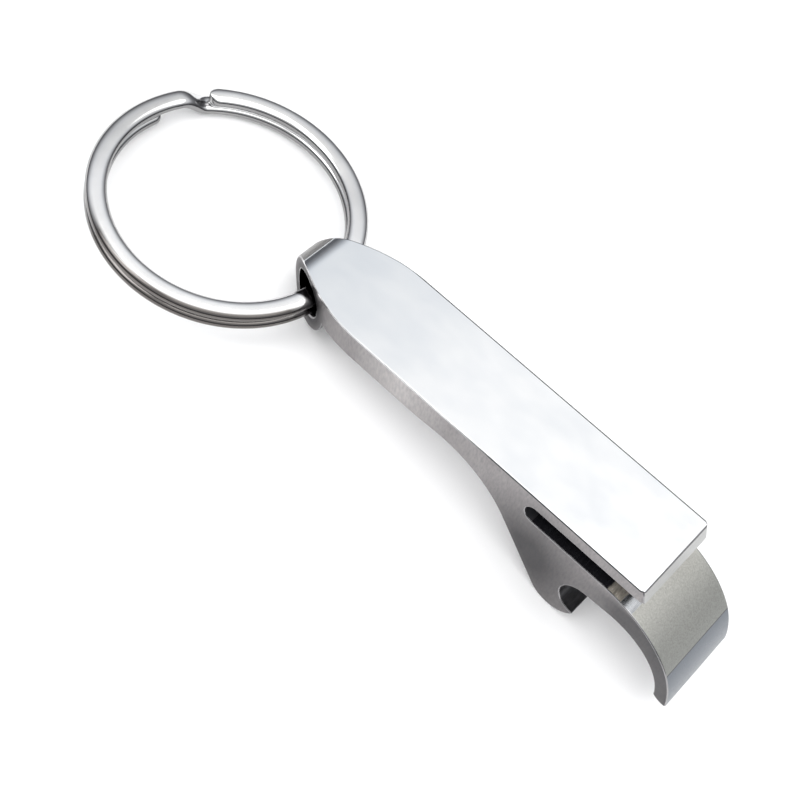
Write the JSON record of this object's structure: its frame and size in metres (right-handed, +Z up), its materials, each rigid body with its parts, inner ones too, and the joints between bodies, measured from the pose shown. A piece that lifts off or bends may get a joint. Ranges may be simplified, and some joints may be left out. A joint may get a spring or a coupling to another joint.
{
  "type": "keychain bottle opener",
  "caption": "Slim milled bar bottle opener: flat top tongue over a slot, hooked claw and curved lip for crown caps, tapered eye with a split key ring.",
  "frame": {"origin": "on the table under the middle of the whole object's box, as it lies on the eye, the claw's belly and the low side of the ring", "axes": "+X from the key ring to the mouth, +Z up from the table; the bar's flat top is pitched 11.09 degrees about Y, rising towards the mouth"},
  "size_m": [0.078, 0.028, 0.0151],
  "materials": {
    "opener_metal": "polished top face, machined sides, fine matte lip",
    "ring_metal": "bright nickel plate over spring steel wire"
  },
  "bodies": {
    "opener": {"opener_body": "opener_metal"},
    "ring": {"split_ring": "ring_metal"}
  },
  "joints": [
    {"name": "ring_swing", "type": "hinge", "parent": "opener", "child": "ring", "pos_m": [-0.01287, 0.00206, 0.00374], "axis": [0, 1, 0], "range_deg": [-175, 155]}
  ]
}
